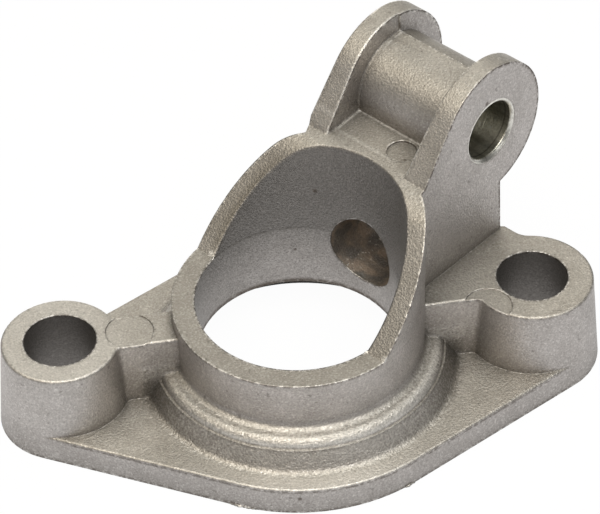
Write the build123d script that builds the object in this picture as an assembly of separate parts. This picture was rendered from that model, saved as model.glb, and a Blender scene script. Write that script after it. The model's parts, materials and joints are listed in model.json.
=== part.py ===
# Lever bracket: one aluminium die casting.
# A rhomboid bolt flange carries a round collar and ring around the main bore.
# The ring is cut off obliquely and runs up into a forked arm with a cross bore for the pivot pin.
# Millimetres. The origin is the centre of the main bore on the underside plane.
# X runs along the two bolt holes, Z is up along the main bore.
import math
import os
from build123d import *

os.makedirs("parts", exist_ok=True)

# Driving sizes of the bolt flange
bolt_spacing = 59.5
bolt_hole_d = 9.0
plate_thickness = 3.6
flange_round_r = 22.9
left_boss_r = 7.3
right_boss_r = 7.68
boss_draft_deg = 4.8
boss_height = 12.5
edge_break = 0.3

# Driving sizes of the collar and the ring
main_bore_d = 25.6
main_bore_lip_z = 5.1
ring_wall = 2.9
rim_z = 14.3
collar_r = 19.9
collar_foot_fillet = 1.0
collar_lip_z = 6.1
collar_lip = 0.25
shoulder_share = 0.58
shoulder_z = 7.2
shoulder_lean = 0.3
shoulder_fillet = 1.0
shoulder_round = 1.4
core_draft_deg = 3.0
bore_edge_ease = 0.35
oblique_angle = 46.2
oblique_blend_r = 7.0

# Driving sizes of the recess in the underside
register_r = 17.9
register_depth = 2.0
relief_r = 16.4

# Driving sizes of the webs
web_width = 5.4
web_draft_deg = 2.0
web_corner_fillet = 0.9
wing_corner_fillet = 2.5
web_edge_round = 0.35
wing_far_u = 28.65
wing_corner_v = 9.5

# Driving sizes of the forked arm
arm_angle = 37.5
arm_offset = -0.8
arm_width = 19.2
arm_draft_deg = 2.0
cheek_thickness = 3.2
pivot_u = 26.15
pivot_z = 29.4
pivot_bore_d = 8.0
pivot_chamfer = 0.3
head_r = 9.25
barrel_r = 6.6
pillar_back_u = 27.85
ledge_z = 28.05
ledge_rise_deg = 3.0
ledge_gap = 1.67
cheek_foot_gap = 0.7
neck_gap = 1.4
neck_ease = 0.7
neck_ease_run = 1.7
parting_u = 27.5
parting_step = 0.3
cheek_step = 0.15

# Driving sizes of the cored side hole
side_hole_d = 9.8
side_hole_z = 12.83
side_hole_v = -0.32

# Driving sizes of the ejector pin marks
web_mark_d = 6.0
web_mark_x = 21.1
wing_mark_x = 23.2
wing_mark_y = -4.1
ledge_mark_d = 3.8
ledge_mark_u = 17.1
ledge_mark_v = 2.1
mark_depth = 0.15
ledge_mark_depth = 0.25

# The most of a wall that a fillet takes, and how far cutting bodies run past what they cut
fillet_share = 0.97
clear = 2.0

# Sizes that follow from the driving ones
bolt_x = bolt_spacing / 2
bore_r = main_bore_d / 2
ring_r = bore_r + ring_wall
tall = pivot_z + head_r + clear
span = bolt_spacing
upright = (Align.CENTER, Align.CENTER, Align.MIN)
boss_lean = math.tan(math.radians(boss_draft_deg))
web_lean = math.tan(math.radians(web_draft_deg))
arm_lean = math.tan(math.radians(arm_draft_deg))

# The arm's own plane: local x is the arm direction u, local y is up, the normal is along the pivot axis
arm_dir = (math.cos(math.radians(arm_angle)), math.sin(math.radians(arm_angle)), 0.0)
pivot_dir = (math.sin(math.radians(arm_angle)), -math.cos(math.radians(arm_angle)), 0.0)
arm_plane = Plane(origin=(0, 0, 0), x_dir=arm_dir, z_dir=pivot_dir)
cross_plane = Plane(origin=(0, 0, 0), x_dir=pivot_dir, z_dir=(-arm_dir[0], -arm_dir[1], 0.0))


def arm_point(u, v, z):
    # A point given along the arm, along the pivot axis and up
    x = u * arm_dir[0] + v * pivot_dir[0]
    y = u * arm_dir[1] + v * pivot_dir[1]
    return (x, y, z)


left_low_r = left_boss_r + boss_lean * boss_height
right_low_r = right_boss_r + boss_lean * boss_height


def plate_outline(inset, height):
    # The tangent outline round the two ends and the middle, drawn in by the draft
    left_end = Pos(-bolt_x, 0) * Circle(left_low_r - inset)
    right_end = Pos(bolt_x, 0) * Circle(right_low_r - inset)
    middle = Circle(flange_round_r - inset)
    return Pos(0, 0, height) * make_hull(left_end.edges() + right_end.edges() + middle.edges())


# Flange plate: drafted like its end bosses, with a broken top edge
plate_top = plate_outline(boss_lean * plate_thickness, plate_thickness)
plate = loft([plate_outline(0, 0), plate_top], ruled=True)
plate = fillet(plate.edges().group_by(Axis.Z)[-1], edge_break)

# End bosses round the two bolt holes, flush with the ends of the plate
left_boss = Pos(-bolt_x, 0, 0) * Cone(left_low_r, left_boss_r, boss_height, align=upright)
right_boss = Pos(bolt_x, 0, 0) * Cone(right_low_r, right_boss_r, boss_height, align=upright)


def corner_edge(body, place):
    # The upright edge of a body that passes nearest to a place
    climbing = body.edges().filter_by(lambda edge: edge.bounding_box().size.Z > plate_thickness)
    return climbing.sort_by(lambda edge: (edge.position_at(0.5) - Vector(*place)).length)[0]


def round_top(body):
    # Rounds the whole outline of a body's level top
    return fillet(body.faces().sort_by(Axis.Z)[-1].edges(), web_edge_round)


# Left web: a drafted bar from the boss to the ring, level with the boss top
half_web = web_width / 2
web_low = half_web + web_lean * boss_height
web_section = Plane.YZ * Polygon(
    (-web_low, 0), (web_low, 0), (half_web, boss_height), (-half_web, boss_height), align=None
)
left_web = Pos(-bolt_x, 0, 0) * extrude(web_section, amount=bolt_x)
left_side = left_boss + left_web
left_corner = corner_edge(left_side, (left_boss_r - bolt_x, -half_web, boss_height / 2))
left_side = round_top(fillet(left_corner, web_corner_fillet))

# Right web: the same near side, spread back over a wing to the foot of the arm
wing_corner = arm_point(wing_far_u, wing_corner_v, 0)
wing_inner = arm_point(pivot_u, wing_corner_v - cheek_thickness, 0)
wing_boss = arm_point(wing_far_u, wing_corner_v + right_boss_r, 0)
wing_outline = Polygon(
    (0, -half_web),
    (bolt_x, -half_web),
    (wing_boss[0], wing_boss[1]),
    (wing_corner[0], wing_corner[1]),
    (wing_inner[0], wing_inner[1]),
    (0, half_web),
    align=None,
)
wing = extrude(Pos(0, 0, boss_height) * wing_outline, amount=-boss_height, taper=-web_draft_deg)
right_side = right_boss + wing
right_corner = corner_edge(right_side, (bolt_x - right_boss_r, -half_web, boss_height / 2))
right_side = fillet(right_corner, web_corner_fillet)
rear_corner = corner_edge(right_side, (bolt_x, right_boss_r, boss_height / 2))
right_side = round_top(fillet(rear_corner, wing_corner_fillet))

# Collar and ring: one turned section with a filleted foot and a hollow shoulder
shoulder_run = (collar_r - ring_r) * shoulder_share
shoulder_r = ring_r + shoulder_run
collar_section = Plane.XZ * (
    Polygon(
        (0, 0),
        (collar_r + collar_foot_fillet, 0),
        (collar_r + collar_foot_fillet, plate_thickness),
        (collar_r, plate_thickness),
        (shoulder_r + collar_lip, collar_lip_z),
        (shoulder_r, collar_lip_z),
        (shoulder_r - shoulder_lean, shoulder_z),
        (ring_r, shoulder_z),
        (ring_r, tall),
        (0, tall),
        align=None,
    )
)
foot_corner = collar_section.vertices().sort_by_distance((collar_r, 0, plate_thickness))[0]
collar_section = fillet(foot_corner, collar_foot_fillet)
shoulder_land = (shoulder_run - shoulder_lean) * fillet_share
shoulder_fall = (shoulder_z - collar_lip_z) * fillet_share
half_turn = math.atan2(shoulder_fall, shoulder_lean) / 2
hollow_r = min(shoulder_fillet, shoulder_land / 2)
crest_r = min(shoulder_round, min(shoulder_land - hollow_r, shoulder_fall) / math.tan(half_turn))
shoulder_edge = collar_section.vertices().sort_by_distance((shoulder_r - shoulder_lean, 0, shoulder_z))[0]
collar_section = fillet(shoulder_edge, crest_r)
shoulder_corner = collar_section.vertices().sort_by_distance((ring_r, 0, shoulder_z))[0]
collar_section = fillet(shoulder_corner, hollow_r)
ring = revolve(collar_section, Axis.Z)

# Side view of the ring's top: flat rim, oblique cut, round blend into the ledge
slope = math.tan(math.radians(oblique_angle))
blend_turn = math.radians(oblique_angle / 2)
oblique_run = (ledge_z - rim_z) / slope
blend_end_u = bore_r + ledge_gap
oblique_fold_u = blend_end_u - oblique_blend_r * math.tan(blend_turn) - oblique_run
blend_start_u = blend_end_u - oblique_blend_r * math.sin(2 * blend_turn)
blend_start_z = ledge_z - oblique_blend_r * (1 - math.cos(2 * blend_turn))
blend_mid_u = blend_end_u - oblique_blend_r * math.sin(blend_turn)
blend_mid_z = ledge_z - oblique_blend_r * (1 - math.cos(blend_turn))
ledge_back_u = pivot_u - barrel_r
ledge_back_z = ledge_z + (ledge_back_u - blend_end_u) * math.tan(math.radians(ledge_rise_deg))
rim_line = (
    Polyline((-span, 0), (-span, rim_z), (oblique_fold_u, rim_z), (blend_start_u, blend_start_z))
    + ThreePointArc((blend_start_u, blend_start_z), (blend_mid_u, blend_mid_z), (blend_end_u, ledge_z))
    + Polyline(
        (blend_end_u, ledge_z),
        (ledge_back_u, ledge_back_z),
        (pillar_back_u, ledge_back_z),
        (pillar_back_u, 0),
        (-span, 0),
    )
)
rim_side = arm_plane * make_face(rim_line.edges())
rim_block = extrude(rim_side, amount=span, both=True)
ring = ring & rim_block

# Front view of the arm: outer and inner faces with draft, wide at the foot
half_arm = arm_width / 2
arm_low = half_arm + arm_lean * pivot_z
arm_high = half_arm - arm_lean * (tall - pivot_z)
arm_front = cross_plane * Pos(arm_offset, 0) * Polygon(
    (-arm_low, 0), (arm_low, 0), (arm_high, tall), (-arm_high, tall), align=None
)
arm_slab = extrude(arm_front, amount=span, both=True)

# The slab's far front corner is eased back where the ring runs into it
neck_v = arm_offset - half_arm
neck_ease_u = bore_r + neck_gap
neck_outline = Polygon(
    arm_point(neck_ease_u, neck_v, 0)[:2],
    arm_point(neck_ease_u - neck_ease_run, neck_v + neck_ease, 0)[:2],
    arm_point(0, neck_v + neck_ease, 0)[:2],
    arm_point(0, neck_v - arm_width, 0)[:2],
    align=None,
)
arm_slab = arm_slab - extrude(neck_outline, amount=tall, dir=(0, 0, 1))
gap_half = half_arm - cheek_thickness
gap_low = gap_half - arm_lean * pivot_z
gap_high = gap_half + arm_lean * (tall - pivot_z)
gap_front = cross_plane * Pos(arm_offset, 0) * Polygon(
    (-gap_low, 0), (gap_low, 0), (gap_high, tall), (-gap_high, tall), align=None
)
gap_slab = extrude(gap_front, amount=-parting_u)

# Rear half of the gap: the left cheek steps in a little behind the parting line
rear_front = cross_plane * Pos(arm_offset, 0) * Polygon(
    (cheek_step - gap_low, 0), (gap_low, 0), (gap_high, tall), (cheek_step - gap_high, tall), align=None
)
rear_slab = extrude(rear_front, amount=-span)

# Pillar: the foot of the arm, grown out of the ring and cut off by the same rim line
pillar_box = Polyline((0, 0), (0, tall), (pillar_back_u, tall), (pillar_back_u, 0), (0, 0))
pillar_side = arm_plane * make_face(pillar_box.edges())
pillar = extrude(pillar_side, amount=span, both=True) & rim_block & arm_slab

# Side view of a cheek: round head and the straight front tangent to it
cheek_foot_u = bore_r + cheek_foot_gap
foot_z = ledge_z - oblique_blend_r + math.sqrt(oblique_blend_r**2 - (blend_end_u - cheek_foot_u) ** 2)
foot_du = pivot_u - cheek_foot_u
foot_dz = pivot_z - foot_z
foot_gap = math.hypot(foot_du, foot_dz)
front_angle = math.atan2(foot_dz, foot_du) + math.asin(head_r / foot_gap)
front_u = pivot_u - head_r * math.sin(front_angle)
front_z = pivot_z + head_r * math.cos(front_angle)
turn_u = pivot_u - head_r * math.sin(front_angle / 2)
turn_z = pivot_z + head_r * math.cos(front_angle / 2)
back_z = pivot_z - math.sqrt(head_r**2 - (pillar_back_u - pivot_u) ** 2)
cheek_line = (
    Polyline(
        (front_u, front_z),
        (cheek_foot_u, foot_z),
        (cheek_foot_u, boss_height),
        (pillar_back_u, boss_height),
        (pillar_back_u, back_z),
    )
    + ThreePointArc((pillar_back_u, back_z), (pivot_u + head_r, pivot_z), (pivot_u, pivot_z + head_r))
    + ThreePointArc((pivot_u, pivot_z + head_r), (turn_u, turn_z), (front_u, front_z))
)
cheek_side = arm_plane * make_face(cheek_line.edges())
cheeks = extrude(cheek_side, amount=span, both=True) & arm_slab
cheeks = cheeks - gap_slab - rear_slab

# Side view of the core between the cheeks: upright wall and round-topped barrel with a parting step
crest_z = pivot_z + barrel_r + parting_step / 2
rear_z = pivot_z + math.sqrt(barrel_r**2 - (parting_u - pivot_u) ** 2)
under_z = pivot_z - math.sqrt(barrel_r**2 - (pillar_back_u - pivot_u) ** 2)
barrel_diagonal = math.sqrt(0.5) * barrel_r
core_line = (
    Polyline((parting_u, rear_z), (parting_u, crest_z), (pivot_u, pivot_z + barrel_r))
    + ThreePointArc(
        (pivot_u, pivot_z + barrel_r),
        (pivot_u - barrel_diagonal, pivot_z + barrel_diagonal),
        (pivot_u - barrel_r, pivot_z),
    )
    + Polyline(
        (pivot_u - barrel_r, pivot_z),
        (pivot_u - barrel_r, boss_height),
        (pillar_back_u, boss_height),
        (pillar_back_u, under_z),
    )
    + ThreePointArc((pillar_back_u, under_z), (pivot_u + barrel_r, pivot_z), (parting_u, rear_z))
)
core_side = arm_plane * make_face(core_line.edges())
core = extrude(core_side, amount=span, both=True) & arm_slab

# The whole rough casting before its bores
casting = plate + left_side + right_side + ring + pillar + cheeks + core

# Main bore: straight below the rim, opening upwards with the upper core's draft
core_lean = math.tan(math.radians(core_draft_deg))
core_top_r = bore_r + (tall - rim_z) * core_lean
main_bore = Cylinder(bore_r, rim_z, align=upright)
upper_bore = Cone(bore_r, core_top_r, tall - rim_z, align=upright)
casting = casting - main_bore - Pos(0, 0, rim_z) * upper_bore
same_radius = 0.01


def on_oblique_mouth(edge):
    # True for an edge of the upper bore that lies above the flat rim
    middle = edge.position_at(0.5)
    height = middle.Z - rim_z
    wall_r = bore_r + core_lean * height
    return height > bore_edge_ease and abs(math.hypot(middle.X, middle.Y) - wall_r) < same_radius


casting = fillet(casting.edges().filter_by(on_oblique_mouth), bore_edge_ease)

# Recess in the underside: a shallow register and a deeper relief up to the bore's lower lip
register = Cylinder(register_r, register_depth, align=upright)
relief = Cylinder(relief_r, main_bore_lip_z, align=upright)
casting = casting - register - relief

# Bolt holes through both bosses
bolt_hole = Cylinder(bolt_hole_d / 2, boss_height, align=upright)
casting = casting - Pos(-bolt_x, 0, 0) * bolt_hole - Pos(bolt_x, 0, 0) * bolt_hole

# Pivot bore through the arm, chamfered at both outer faces
chamfer_rise = pivot_chamfer + clear
chamfer_cone = Cone(pivot_bore_d / 2, pivot_bore_d / 2 + chamfer_rise, chamfer_rise, align=upright)
pivot_place = arm_plane * Pos(pivot_u, pivot_z, arm_offset)
casting = casting - pivot_place * Cylinder(pivot_bore_d / 2, span)
casting = casting - pivot_place * Pos(0, 0, half_arm - pivot_chamfer) * chamfer_cone
casting = casting - pivot_place * Rot(180, 0, 0) * Pos(0, 0, half_arm - pivot_chamfer) * chamfer_cone

# Cored side hole from the main bore out through the back of the pillar
side_run = pillar_back_u + clear
side_core = Cylinder(side_hole_d / 2, side_run, align=upright)
side_place = Plane(origin=arm_point(0, side_hole_v, side_hole_z), x_dir=pivot_dir, z_dir=arm_dir)
casting = casting - side_place * side_core

# Ejector pin marks: shallow rounds on the left web, on the wing's near edge and on the ledge
web_mark = Cylinder(web_mark_d / 2, 2 * mark_depth)
casting = casting - Pos(-web_mark_x, 0, boss_height) * web_mark
casting = casting - Pos(wing_mark_x, wing_mark_y, boss_height) * web_mark
ledge_mark_z = ledge_z + (ledge_mark_u - blend_end_u) * math.tan(math.radians(ledge_rise_deg))
ledge_place = Pos(*arm_point(ledge_mark_u, ledge_mark_v, ledge_mark_z - ledge_mark_depth))
ledge_cut = Cylinder(ledge_mark_d / 2, clear, align=upright)
casting = casting - (ledge_place * ledge_cut & gap_slab)

assert casting.is_valid
assert len(casting.solids()) == 1
casting = casting.solids()[0]
casting.label = "lever_bracket"
export_step(casting, "parts/lever_bracket.step")
print("volume", round(casting.volume), "size", casting.bounding_box().size)
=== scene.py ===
# Lever bracket: one aluminium die casting, shot-blasted, standing on its flange.
# Metres, in the part's own frame: the bore stands on the origin, X runs along the bolt holes, Z is up.
import json
import math
import random
import bmesh
import bpy
from mathutils import Matrix, Vector


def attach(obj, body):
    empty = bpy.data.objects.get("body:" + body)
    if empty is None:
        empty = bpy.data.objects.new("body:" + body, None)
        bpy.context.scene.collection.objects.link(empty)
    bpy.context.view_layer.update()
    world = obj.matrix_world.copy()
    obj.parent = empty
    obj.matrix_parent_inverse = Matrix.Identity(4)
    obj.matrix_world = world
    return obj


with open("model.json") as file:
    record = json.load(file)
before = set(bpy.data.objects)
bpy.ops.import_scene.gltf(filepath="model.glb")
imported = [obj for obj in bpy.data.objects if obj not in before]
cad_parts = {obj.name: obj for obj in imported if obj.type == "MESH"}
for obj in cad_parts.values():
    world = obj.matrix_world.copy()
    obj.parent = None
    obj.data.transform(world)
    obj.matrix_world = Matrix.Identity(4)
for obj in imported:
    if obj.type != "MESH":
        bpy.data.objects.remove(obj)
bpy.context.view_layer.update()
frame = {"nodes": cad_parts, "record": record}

# The casting
# One aluminium die casting, blasted with fine shot, so its skin is satin with a fine sparkling grain.
# Its sharp edges are rounded and polished by the blasting, with painted glints on them, and painted shade
# darkens its corners, pockets and cored holes.
MM = 0.001
casting = frame["nodes"]["lever_bracket"]
mounts = {mount["name"]: mount for mount in frame["record"]["mounts"]}
skin = bpy.data.materials.new("blasted_casting")
skin.use_nodes = True
skin_tree = skin.node_tree
surface = skin_tree.nodes["Principled BSDF"]


class Shade:
    """A shader socket that can be written in sums, as a number or as a colour."""

    def __init__(self, tree, socket):
        self.tree = tree
        self.socket = socket

    @classmethod
    def node(cls, tree, kind, settings=None, inputs=None, output=0):
        """Makes one node, sets it up, links or fills its inputs and gives one of its outputs."""
        made = tree.nodes.new(kind)
        for name, value in (settings or {}).items():
            setattr(made, name, value)
        for name, value in (inputs or {}).items():
            if isinstance(value, Shade):
                tree.links.new(value.socket, made.inputs[name])
            else:
                made.inputs[name].default_value = value
        return cls(tree, made.outputs[output])

    def math(self, operation, *values, clamp=False):
        settings = {"operation": operation, "use_clamp": clamp}
        return self.node(self.tree, "ShaderNodeMath", settings, dict(enumerate(values)))

    def __add__(self, other):
        return self.math("ADD", self, other)

    def __radd__(self, other):
        return self.math("ADD", other, self)

    def __sub__(self, other):
        return self.math("SUBTRACT", self, other)

    def __rsub__(self, other):
        return self.math("SUBTRACT", other, self)

    def __mul__(self, other):
        return self.math("MULTIPLY", self, other)

    def __rmul__(self, other):
        return self.math("MULTIPLY", other, self)

    def __truediv__(self, other):
        return self.math("DIVIDE", self, other)

    def __rtruediv__(self, other):
        return self.math("DIVIDE", other, self)

    def __pow__(self, other):
        return self.math("POWER", self, other)

    def __rpow__(self, other):
        return self.math("POWER", other, self)

    def __abs__(self):
        return self.math("ABSOLUTE", self)

    def clipped(self):
        return self.math("ADD", self, 0.0, clamp=True)

    def between(self, low, high):
        """0 below low, 1 above high, straight in between; low above high turns it round."""
        return ((self - low) / (high - low)).clipped()

    def near(self, place, half_width):
        """1 at a place, falling to 0 half a width to either side of it."""
        return (1 - abs(self - place) / half_width).clipped()

    def mix(self, first, second):
        """Mixes two colours by this value: 0 is the first, 1 the second."""
        settings = {"data_type": "RGBA", "blend_type": "MIX"}
        return self.node(self.tree, "ShaderNodeMix", settings, {0: self, 6: first, 7: second}, output=2)


# Where a point of the skin lies, in millimetres, and which way it faces
def parts(vector):
    """A vector's three numbers."""
    return [Shade.node(skin_tree, "ShaderNodeSeparateXYZ", None, {0: vector}, axis) for axis in range(3)]


def reach(first, second):
    """How far a point lies from an axis, from its two distances square to it."""
    return (first * first + second * second) ** 0.5


def angle_round(first, second):
    """The angle at which a point stands round an axis, in radians."""
    return first.math("ARCTAN2", first, second)


place = Shade.node(skin_tree, "ShaderNodeTexCoord", output="Object")
to_mm = {0: place, "Scale": 1 / MM}
place_mm = Shade.node(skin_tree, "ShaderNodeVectorMath", {"operation": "SCALE"}, to_mm)
x_mm, y_mm, z_mm = parts(place_mm)
facing_x, facing_y, facing_z = parts(Shade.node(skin_tree, "ShaderNodeNewGeometry", output="Normal"))
from_bore = reach(x_mm, y_mm)
around = angle_round(y_mm, x_mm)

# The arm's own directions: along it, and across it to the right, from the mounts in its two holes
side_axis = mounts["side_hole"]["axis"]
along = x_mm * side_axis[0] + y_mm * side_axis[1]
across = x_mm * side_axis[1] - y_mm * side_axis[0]
facing_out = abs(facing_x * side_axis[1] - facing_y * side_axis[0])
pivot_place = [value / MM for value in mounts["pivot_bore"]["pos_m"]]
pivot_u = pivot_place[0] * side_axis[0] + pivot_place[1] * side_axis[1]
pivot_z = pivot_place[2]
arm_middle = -0.8
half_arm = 9.6
half_gap = 6.4
left_face = arm_middle - half_gap


# What the blasting left: round dimples, facets that sparkle with painted glints, a fine grain and chipped
# places
def shot(per_mm, output):
    """The dimples of the shot, one cell each, with so many cells to the millimetre."""
    return Shade.node(skin_tree, "ShaderNodeTexVoronoi", None, {"Vector": place_mm, "Scale": per_mm}, output)


def noise(per_mm, detail=2.0, roughness=0.5, where=place_mm):
    """Uneven from place to place, between 0 and 1, with so many waves to the millimetre."""
    inputs = {"Vector": where, "Scale": per_mm, "Detail": detail, "Roughness": roughness}
    return Shade.node(skin_tree, "ShaderNodeTexNoise", None, inputs)


def drawn_out(*directions):
    """A place to take noise at, which is stretched along the directions that are made smaller."""
    return Shade.node(skin_tree, "ShaderNodeCombineXYZ", None, dict(enumerate(directions)))


dimples = shot(3.6, "Distance")
facet = Shade.node(skin_tree, "ShaderNodeSeparateColor", None, {0: shot(5.5, "Color")})
sparkle = facet.between(0.7, 1.0)
grain = noise(5.0, 2.0, 0.65)
chips = noise(1.6, 3.0, 0.65)
pits = noise(1.7, 0.0).between(0.76, 0.82)


# Edges that stand out, and the corners and the wider pockets between the walls, which take painted shade
def covered(reach_mm, samples, inside=False):
    """How much is closed off round a point of the skin, or inside the metal behind an edge."""
    settings = {"inside": inside, "samples": samples}
    inputs = {"Distance": reach_mm * MM}
    return 1 - Shade.node(skin_tree, "ShaderNodeAmbientOcclusion", settings, inputs, output="AO")


convex = covered(0.5, 6, inside=True)
corner_shade = covered(1.0, 5).between(0.15, 0.9)
pocket_shade = covered(6.0, 5).between(0.12, 0.7)
on_wall = abs(facing_z).between(0.6, 0.3)
level = facing_z.between(0.9, 0.97)

# The bare skin: patchy grey, with painted light that makes the tops a little warmer and darker than the
# walls
top_dull = (0.37, 0.347, 0.311, 1)
top_pale = (0.44, 0.417, 0.379, 1)
wall_dull = (0.405, 0.38, 0.362, 1)
wall_pale = (0.475, 0.448, 0.431, 1)
patchy = noise(0.3, 3.0, 0.55).between(0.3, 0.7)
metal = abs(facing_z).between(0.2, 0.8).mix(patchy.mix(wall_dull, wall_pale), patchy.mix(top_dull, top_pale))

# What changes it: masks with their colours, laid over the bare skin one after another
layers = []
bright = (0.9, 0.88, 0.84, 1)
dark = (0.12, 0.11, 0.095, 1)

# The collar's shoulder is rolled over softly, and keeps the streaks and pebbles of the liquid metal. Painted
# highlights lie on its crest, its shoulder and the plate in front of it, and painted shade lies in its right
# valley, under its lip and at its ends.
plate_top = 3.6
ring_r = 15.7
collar_r = 19.9
collar_lip_z = 6.1
shoulder_z = 7.2
front_turn = -1.66
from_front = abs(around - front_turn)
to_sides = from_front.between(0.3, 0.8)
on_collar = from_bore.between(ring_r + 0.1, ring_r + 0.5) * from_bore.between(collar_r + 1.0, collar_r + 0.4)
on_collar = on_collar * z_mm.between(shoulder_z + 1.7, shoulder_z + 1.1)
on_shoulder = on_collar * z_mm.between(collar_lip_z + 0.2, collar_lip_z + 0.8)
streak_turn = 20.0
streak_rise = 3.4
streak_place = drawn_out(around * streak_turn, from_bore * streak_rise, z_mm * streak_rise)
streaks = noise(1.0, 2.0, 0.6, streak_place)
pebbles = noise(3.1, 2.0, 0.6)
crest_highlight = on_collar * z_mm.near(collar_lip_z + 0.35, 0.4) * from_front.between(1.15, 0.6)
under_lip_shade = on_collar * z_mm.near(collar_lip_z - 0.12, 0.24) * streaks.between(0.3, 0.5)
collar_end_shade = on_collar * z_mm.between(collar_lip_z + 0.4, collar_lip_z - 0.5)
collar_end_shade = collar_end_shade * from_front.between(0.85, 1.15) * from_front.between(1.9, 1.7)
right_shoulder_highlight = around.between(-1.1, -0.7) * around.between(-0.1, -0.35)
right_shoulder_highlight = right_shoulder_highlight * from_bore.between(ring_r + 0.9, ring_r + 1.5)
right_valley_shade = around.between(-1.0, -0.6) * from_bore.between(ring_r + 1.2, ring_r + 0.8)
right_valley_shade = right_valley_shade * from_bore.between(ring_r - 0.3, ring_r - 0.1)
right_valley_shade = right_valley_shade * z_mm.between(shoulder_z + 2.8, shoulder_z + 0.8)
right_valley_shade = right_valley_shade * z_mm.between(shoulder_z - 1.2, shoulder_z - 0.6) * around.between(0.2, -0.1)
front_highlight = z_mm.between(plate_top + 0.3, plate_top + 0.1)
front_highlight = front_highlight * z_mm.between(plate_top - 0.4, plate_top - 0.2)
front_highlight = front_highlight * from_bore.between(collar_r + 0.3, collar_r + 1.1)
front_highlight = front_highlight * from_front.between(0.85, 0.25)
# Painted highlights and shade on the collar, with painted speckles of highlight and shade on its pebbles
layers += [
    (crest_highlight * 0.6, bright),
    (on_shoulder * (0.15 + right_shoulder_highlight * 0.3), bright),
    (right_valley_shade * 0.2, dark),
    (on_collar * pebbles.between(0.52, 0.64) * (0.13 + to_sides * 0.17), bright),
    (on_collar * pebbles.between(0.48, 0.36) * (0.18 + to_sides * 0.14), dark),
    (front_highlight * 0.3, bright),
    (under_lip_shade * 0.35, dark),
    (collar_end_shade * 0.45, dark),
]

# The ledge between the cheeks: painted shade on its flat and a patch at its left end, a painted highlight on
# the crease of the rolled lip in front of it, and painted highlight lines along its back and left edges
ledge_z = 28.05
crease_u = 15.1
ledge_back_u = 20.5
ledge_shade_colour = (0.27, 0.25, 0.22, 1)
over_lip = z_mm.between(ledge_z - 1.25, ledge_z - 0.65)
ledge_shade = over_lip * level * along.between(crease_u - 0.9, crease_u + 0.1)
ledge_shade = ledge_shade * along.between(ledge_back_u + 1.0, ledge_back_u)
ledge_shade = ledge_shade * abs(across - arm_middle).between(half_gap + 0.6, half_gap)
crease_highlight = over_lip * along.near(crease_u, 0.4) * across.between(3.2, 2.0)
ledge_end_shade = over_lip * z_mm.between(ledge_z + 0.75, ledge_z + 0.35)
ledge_end_shade = ledge_end_shade * across.between(left_face + 3.7, left_face + 1.7)
ledge_end_shade = ledge_end_shade * along.between(crease_u - 2.3, crease_u - 1.3)
ledge_end_shade = ledge_end_shade * along.between(crease_u + 1.9, crease_u + 0.9)
ledge_highlights = over_lip * level * along.between(crease_u - 0.5, crease_u + 0.3)
ledge_highlights = ledge_highlights * (along.near(ledge_back_u - 1.15, 0.24) + across.near(left_face + 0.35, 0.26))
ledge_highlights = ledge_highlights * chips.between(0.36, 0.5)
layers += [
    (ledge_shade * 0.35, ledge_shade_colour),
    (crease_highlight * 0.22, bright),
    (ledge_end_shade * 0.2, dark),
]

# The left cheek's inner edge is rolled over, and gets a painted highlight that grows stronger towards its
# top
cheek_foot_z = 24.0
left_cheek = across.near(left_face, 1.2) * z_mm.between(cheek_foot_z, cheek_foot_z + 3.0)
upper_cheek = left_cheek * z_mm.between(pivot_z + 0.6, pivot_z + 4.6)
cheek_highlight = left_cheek * convex.between(0.02, 0.14)
layers += [
    (cheek_highlight * (0.3 + z_mm.between(pivot_z + 1.6, pivot_z + 5.1) * 0.35), bright),
]

# The ring: painted shade on the slope to the right, and a brown band of painted shade along the inner rim to
# the left, darkest nearest the bore
# Above the line where the dies met, the bore widens with the core's draft of three degrees.
bore_r = mounts["main_bore"]["dims"]["r_mm"]
parting_z = 14.3
core_flare = 0.0524
rim_shade_brown = (0.17, 0.15, 0.12, 1)
bore_wall = bore_r + z_mm.math("MAXIMUM", z_mm - parting_z, 0.0) * core_flare
in_bore = (bore_wall - from_bore).between(-0.22, -0.1)
on_ring = from_bore.between(ring_r + 0.5, ring_r + 0.2)
sloped_rim_shade = z_mm.between(parting_z + 0.3, parting_z + 1.1) * on_ring * x_mm.between(5.0, 8.0)
sloped_rim_shade = sloped_rim_shade * (1 - in_bore) * z_mm.between(ledge_z - 3.05, ledge_z - 6.05)
inner_rim_shade = z_mm.between(parting_z + 0.3, parting_z + 1.7) * on_ring * (1 - in_bore)
inner_rim_shade = inner_rim_shade * z_mm.between(ledge_z - 0.45, ledge_z - 1.45)
inner_rim_shade = inner_rim_shade * ((from_bore - bore_wall).between(1.5, 0.3) * 0.5 + 0.33) * x_mm.between(5.0, -2.0)
layers += [
    (sloped_rim_shade * 0.16, dark),
    (inner_rim_shade * 0.85, rim_shade_brown),
]

# Painted light makes the left web and boss a little paler, and painted shade darkens the walls that face
# right, the pockets and all corners. The dies' line round the ring and the pits are darker too.
boss_top = 12.5
left_side_light = x_mm.between(-17.0, -24.0) * z_mm.between(plate_top + 0.2, plate_top + 1.0)
left_boss_light = x_mm.between(-22.0, -26.0) * z_mm.between(boss_top - 1.5, boss_top - 0.5)
left_boss_light = left_boss_light * facing_z.between(0.5, 0.9)
ring_line = z_mm.near(parting_z, 0.2) * from_bore.between(ring_r + 0.5, ring_r + 0.1)
plate_flat = facing_z.between(0.8, 0.95) * z_mm.between(plate_top + 0.4, plate_top + 0.1)
layers += [
    (left_side_light * 0.06, bright),
    (left_boss_light * 0.18, bright),
    (facing_x.between(0.7, 0.95) * 0.22, dark),
    (ring_line * (0.17 + x_mm.between(-4.0, -9.0) * 0.06), dark),
    (pits * 0.35, dark),
    (pocket_shade * (0.72 - plate_flat * 0.12 - upper_cheek * 0.25), dark),
    (corner_shade * 0.75, dark),
]
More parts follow.
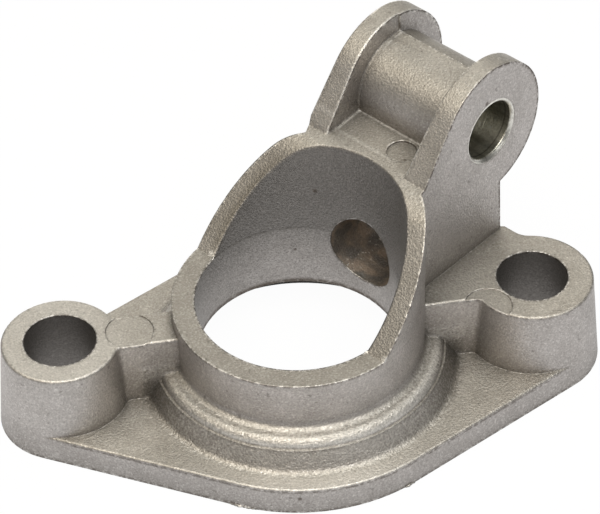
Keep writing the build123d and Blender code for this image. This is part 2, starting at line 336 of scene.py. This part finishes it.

# Painted shade in the cored walls: the bolt holes, and the main bore, deepening towards the dies' line,
# darkest above it and on its left; the dies' line itself is a dark seam
bore_lip_z = 5.1
core_shade = (0.2, 0.19, 0.178, 1)
bolt_hole_shade = (0.17, 0.16, 0.15, 1)
bore_left_shade = around.between(1.6, 2.2)
bore_band_shade = z_mm.between(9.0, 13.0) * z_mm.between(16.0, 14.0)
bore_shade = 0.24 + z_mm.between(7.5, parting_z) ** 2.0 * 0.44
bore_shade = bore_shade + z_mm.between(parting_z - 0.15, parting_z + 0.15) * 0.15
core_line = z_mm.near(parting_z, 0.3) * around.between(1.1, 1.6) * noise(0.9, 2.0).between(0.3, 0.5)
core_foot = in_bore * z_mm.between(bore_lip_z + 0.8, bore_lip_z + 0.3) * noise(1.2, 2.0).between(0.25, 0.5)
bolt_x = mounts["bolt_holes"]["dims"]["spacing_x_mm"] / 2
bolt_r = mounts["bolt_holes"]["dims"]["hole_r_mm"]
from_bolt = reach(abs(x_mm) - bolt_x, y_mm)
in_bolt = from_bolt.between(bolt_r + 0.2, bolt_r + 0.08)
layers += [
    (in_bore * bore_shade, core_shade),
    (in_bore * bore_left_shade * (0.32 + bore_band_shade * 0.25), core_shade),
    (in_bore * core_line * 0.5, dark),
    (in_bolt * 0.85, bolt_hole_shade),
]

# The side hole is cored too, stained brown by the die release
side_place = [value / MM for value in mounts["side_hole"]["pos_m"]]
side_across = side_place[0] * side_axis[1] - side_place[1] * side_axis[0]
side_r = mounts["side_hole"]["dims"]["r_mm"]
hole_brown = (0.5, 0.42, 0.35, 1)
hole_grey = (0.27, 0.257, 0.24, 1)
from_side = reach(across - side_across, z_mm - side_place[2])
in_side = from_side.between(side_r + 0.15, side_r + 0.05) * along.between(9.5, 10.0) * (1 - in_bore)
side_stain = noise(0.45, 2.0).between(0.42, 0.62)
side_glints = noise(2.4, 1.0).between(0.63, 0.72) * z_mm.between(10.2, 8.8) * across.between(-1.5, -3.0)
layers += [
    (in_side, side_stain.mix(hole_grey, hole_brown)),
    # Painted glints in the lower part of the side hole
    (in_side * side_glints * 0.8, bright),
]

# Worn edges are polished and carry painted glints, with a dark chipped fringe below them
chip_dark = (0.10, 0.08, 0.065, 1)
wear_and_glints = convex.between(0.2, 0.45) * chips.between(0.47, 0.58) * (1 - on_collar * 0.7) * (1 - on_wall * 0.6)
wear_and_glints = wear_and_glints * (1 - z_mm.between(20.0, 24.0) * across.between(5.0, 7.5) * 0.35)
plate_edge = z_mm.between(plate_top + 0.3, plate_top + 0.05) * z_mm.between(plate_top - 0.6, plate_top - 0.5)
plate_line = z_mm.near(plate_top - 0.4, 0.24) * from_bolt.between(8.6, 9.2) * chips.between(0.62, 0.45)
fringe = convex.between(0.02, 0.1) * convex.between(0.26, 0.14) * chips.between(0.56, 0.42) * 0.5
under_rim = on_wall * convex.between(0.12, 0.32) * chips.between(0.58, 0.44) * (1 - on_collar)
on_cheek_side = facing_out.between(0.9, 0.97) * along.between(12.0, 14.0) * z_mm.between(13.0, 16.0)
cheek_line = on_cheek_side * convex.between(0.1, 0.3) * chips.between(0.62, 0.46)


# Small faults: pores, and cold folds where two streams of metal met
def spot(x_at, y_at, z_at, radius):
    """1 at a place on the skin, falling to 0 at a radius from it; all in millimetres."""
    settings = {"operation": "DISTANCE"}
    inputs = {0: place_mm, 1: (x_at, y_at, z_at)}
    away = Shade.node(skin_tree, "ShaderNodeVectorMath", settings, inputs, output=1)
    return away.between(radius, radius * 0.45)


pores = spot(4.48, 12.31, 20.4, 0.42) + spot(1.8, 12.67, 10.65, 0.28) + spot(25.41, 8.61, 34.1, 0.4)
pores = pores + spot(-3.93, -22.37, 2.25, 0.35) + spot(14.95, 7.33, 27.94, 0.25)
folds = spot(-9.36, 9.77, 14.53, 0.5) + spot(8.31, -13.14, 14.61, 0.5)
layers += [
    # Painted glints on the sparkling facets, kept out of the bores
    (sparkle * 0.16 * (1 - in_bore) * (1 - in_bolt), bright),
    (wear_and_glints * (1 - plate_edge * 0.55) * 0.85, bright),
    (folds * 0.7, bright),
    (ledge_highlights * 0.5, bright),
    (fringe, dark),
    (under_rim * 0.6, chip_dark),
    (plate_line * 0.65, chip_dark),
    (core_foot * 0.8, chip_dark),
    (cheek_line * 0.8, chip_dark),
    (pores.clipped() * 0.75, chip_dark),
]

# The recess in the underside is seen only as a dark strip below the bore's far lip, painted near black as
# shade
register_r = mounts["register"]["dims"]["r_mm"]
recess_shade = (0.03, 0.028, 0.025, 1)
in_recess = from_bore.between(register_r + 0.1, register_r)
in_recess = in_recess * z_mm.between(bore_lip_z + 0.2, bore_lip_z - 0.1) * (1 - in_bore)
layers += [(in_recess, recess_shade)]

# The pivot bore is the one machined place: reamed through both cheeks, with a step near each mouth. Painted
# reflections streak its wall, a painted highlight rings its mouth, and painted shadow lines mark the steps.
pivot_r = mounts["pivot_bore"]["dims"]["r_mm"]
reamed_highlight = (0.93, 0.91, 0.82, 1)
reamed_shade = (0.27, 0.26, 0.22, 1)
from_pivot = reach(along - pivot_u, z_mm - pivot_z)
in_pivot = from_pivot.between(pivot_r + 0.5, pivot_r + 0.35)
reamed = noise(1.0, 3.0, 0.6, drawn_out(across * 3.2, along * 0.25, z_mm * 0.25))
pivot_turn = angle_round(z_mm - pivot_z, along - pivot_u)
pivot_reflections = noise(1.0, 2.0, 0.55, drawn_out(pivot_turn * 2.2, across * 0.12)).between(0.38, 0.6)
pivot_reflections = pivot_reflections * 0.5 + pivot_turn.near(-0.8, 0.45) * 0.6
right_step = arm_middle + half_arm - 1.05
left_step = arm_middle - half_arm + 1.1
step_shadows = across.near(right_step, 0.16) + across.near(left_step, 0.16)
pivot_mouth = from_pivot.near(pivot_r + 0.5, 0.16) * chips.between(0.5, 0.62)
layers += [
    (in_pivot, pivot_reflections.mix(reamed_shade, reamed_highlight)),
    (in_pivot * from_pivot.between(pivot_r + 0.05, pivot_r + 0.15) * 0.45, bright),
    (in_pivot * step_shadows * 0.7, chip_dark),
    (pivot_mouth * 0.8, chip_dark),
]

# The grain tints it all: stronger in the bore, calmer on the high tops
high_top = facing_z.between(0.6, 0.95) * z_mm.between(5.0, 9.0)
for mask, colour in layers:
    metal = mask.mix(metal, colour)
tint = 0.56 + grain * 0.63 + dimples * 0.35 + (in_bore * 0.6 - high_top * 0.25) * (grain - 0.5)
grey = Shade.node(skin_tree, "ShaderNodeCombineColor", None, {0: tint, 1: tint, 2: tint})
multiply = {"data_type": "RGBA", "blend_type": "MULTIPLY"}
metal = Shade.node(skin_tree, "ShaderNodeMix", multiply, {0: 1.0, 6: metal, 7: grey}, output=2)
skin_tree.links.new(metal.socket, surface.inputs["Base Color"])
surface.inputs["Metallic"].default_value = 1.0

# Satin where it is blasted, smoother where it is worn or reamed
blasted_rough = 0.52
reamed_rough = 0.26
rough = (blasted_rough - wear_and_glints * 0.12 - sparkle * 0.1 + grain * 0.06) * (1 - in_pivot)
rough = rough + in_pivot * (reamed_rough + reamed * 0.16)
skin_tree.links.new(rough.socket, surface.inputs["Roughness"])

# Rounded edges under the dimples and grain, which are calmer on the high tops and the barrel
edge_round = 0.24
deepest = 0.09
on_barrel = z_mm.between(23.0, 25.0) * along.between(19.0, 20.5) * facing_z.between(0.9, 0.6)
over_crest = z_mm.between(collar_lip_z + 0.3, collar_lip_z + 0.6)
collar_foot = z_mm.between(plate_top + 1.2, plate_top + 0.9)
soft_collar = on_collar * (over_crest + collar_foot)
edge_radius = (edge_round + soft_collar * 0.5 + left_cheek * 0.35) * MM
rounded = Shade.node(skin_tree, "ShaderNodeBevel", {"samples": 6}, {"Radius": edge_radius})
blasted = (dimples * 0.58 + grain * 0.5) * (1 - in_pivot) * (1 + in_bore * 0.3 - in_bolt * 0.4)
blasted = blasted + in_pivot * reamed + on_shoulder * streaks * 0.85
blasted = blasted + on_collar * pebbles * 0.8 + chips * 0.5
bump_strength = 0.68 - high_top * 0.2 - on_barrel * 0.14
bump_inputs = {"Strength": bump_strength, "Distance": deepest * MM, "Height": blasted, "Normal": rounded}
bump = Shade.node(skin_tree, "ShaderNodeBump", None, bump_inputs)
skin_tree.links.new(bump.socket, surface.inputs["Normal"])
casting.data.materials.clear()
casting.data.materials.append(skin)
for face in casting.data.polygons:
    face.material_index = 0

# Two slivers of trimmed flash along the flange's lower edge
# The gate and the parting flash were broken off there, and left thin ragged fins of the same metal.
flange_r = 22.9
fin_root = 0.15
fin_thin = 0.02
fin_step = 0.22
dice = random.Random(7)


def flash_fin(name, first_turn, last_turn, wide, tall):
    """A ragged fin round part of the flange, between two angles in degrees, in rows of three corners."""
    mesh = bpy.data.meshes.new(name)
    fin = bpy.data.objects.new(name, mesh)
    bpy.context.scene.collection.objects.link(fin)
    count = int(math.radians(last_turn - first_turn) * flange_r / fin_step) + 1
    shape = bmesh.new()
    rows = []
    for number in range(count + 1):
        share = number / count
        swell = math.sin(math.pi * share) ** 0.5
        out = wide * swell * dice.uniform(0.35, 1.0)
        up = tall * swell * dice.uniform(0.5, 1.0) + fin_thin
        turn = math.radians(first_turn + (last_turn - first_turn) * share)
        corners = ((flange_r - fin_root, 0.0), (flange_r + out, fin_thin), (flange_r - fin_root, up))
        rows.append([
            shape.verts.new((math.cos(turn) * far * MM, math.sin(turn) * far * MM, high * MM))
            for far, high in corners
        ])
    for near_row, far_row in zip(rows, rows[1:]):
        for corner in range(3):
            following = (corner + 1) % 3
            shape.faces.new((near_row[corner], far_row[corner], far_row[following], near_row[following]))
    shape.faces.new(rows[0])
    shape.faces.new(list(reversed(rows[-1])))
    bmesh.ops.recalc_face_normals(shape, faces=shape.faces)
    shape.to_mesh(mesh)
    shape.free()
    mesh.materials.append(skin)
    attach(fin, "root")


flash_fin("flash_fin_left", 235.5, 247.0, 0.24, 0.5)
flash_fin("flash_fin_right", 293.8, 298.0, 0.26, 0.35)

# The table it is shown on
# A plain white sheet under the flange; the camera and the metal see it white, and it keeps a soft shadow.
bpy.ops.mesh.primitive_plane_add(size=6, location=(0, 0, 0))
floor = bpy.context.object
floor.name = "floor"
paper = bpy.data.materials.new("white_paper")
paper.use_nodes = True
paper_tree = paper.node_tree
paper_tree.nodes.remove(paper_tree.nodes["Principled BSDF"])
camera_ray = Shade.node(paper_tree, "ShaderNodeLightPath", output="Is Camera Ray")
glossy_ray = Shade.node(paper_tree, "ShaderNodeLightPath", output="Is Glossy Ray")
glass_ray = Shade.node(paper_tree, "ShaderNodeLightPath", output="Is Transmission Ray")
seen = (camera_ray * 0.97 + (glossy_ray + glass_ray) * 0.99).clipped()
matte = Shade.node(paper_tree, "ShaderNodeBsdfDiffuse", None, {"Color": (0.85, 0.85, 0.85, 1)})
glow = Shade.node(paper_tree, "ShaderNodeEmission", None, {"Color": (1, 1, 1, 1), "Strength": 1.0})
paper_look = Shade.node(paper_tree, "ShaderNodeMixShader", None, {0: seen, 1: matte, 2: glow})
paper_tree.links.new(paper_look.socket, paper_tree.nodes["Material Output"].inputs["Surface"])
floor.data.materials.append(paper)

# The light round it
# Six round softboxes at one distance, the brighter ones in front and the warm ones over the left shoulder.
world = bpy.data.worlds.new("studio")
bpy.context.scene.world = world
world.use_nodes = True
backdrop = world.node_tree.nodes["Background"]
backdrop.inputs["Color"].default_value = (1.0, 0.99, 0.98, 1)
backdrop.inputs["Strength"].default_value = 0.1
box_size = 0.6
box_distance = 0.9


def softbox(name, azimuth, elevation, power, colour):
    """A round lamp that faces the part, from two angles in degrees."""
    lamp = bpy.data.lights.new(name, "AREA")
    lamp.shape = "DISK"
    lamp.size = box_size
    lamp.energy = power
    lamp.color = colour
    holder = bpy.data.objects.new(name, lamp)
    turn = math.radians(azimuth)
    rise = math.radians(elevation)
    away = Vector((math.cos(turn) * math.cos(rise), math.sin(turn) * math.cos(rise), math.sin(rise)))
    holder.location = away * box_distance
    holder.rotation_mode = "QUATERNION"
    holder.rotation_quaternion = away.to_track_quat("Z", "Y")
    bpy.context.scene.collection.objects.link(holder)


softbox("overhead", 0, 90, 1.36, (0.93, 1.0, 1.0))
softbox("back_low", 90, 12, 1.6, (1.0, 0.96, 0.89))
softbox("back_right", 60, 60, 1.6, (1.0, 0.95, 0.86))
softbox("left", 180, 60, 2.0, (1.0, 0.92, 0.78))
softbox("front_left", 240, 60, 2.95, (1.0, 0.9, 0.77))
softbox("front_right", 300, 60, 4.4, (1.0, 1.0, 0.98))

# The camera
# A long lens from above the near side, turned as the photograph was taken.
camera = bpy.data.cameras.new("camera")
eye = bpy.data.objects.new("camera", camera)
bpy.context.scene.collection.objects.link(eye)
photo_width = 600
focal_px = 2967.32
camera.sensor_width = 36.0
camera.lens = focal_px / photo_width * camera.sensor_width
right = Vector((0.98465044, -0.17324169, -0.02123274))
up = Vector((0.13263671, 0.66363448, 0.73620431))
back = Vector((-0.1134505, -0.72772014, 0.67642619))
stand = Vector((-40.688, -263.634, 266.033)) * MM
eye.matrix_world = Matrix.Translation(stand) @ Matrix((right, up, back)).transposed().to_4x4()
camera.clip_start = 0.01
bpy.context.scene.camera = eye
bpy.context.scene.view_settings.view_transform = "Standard"
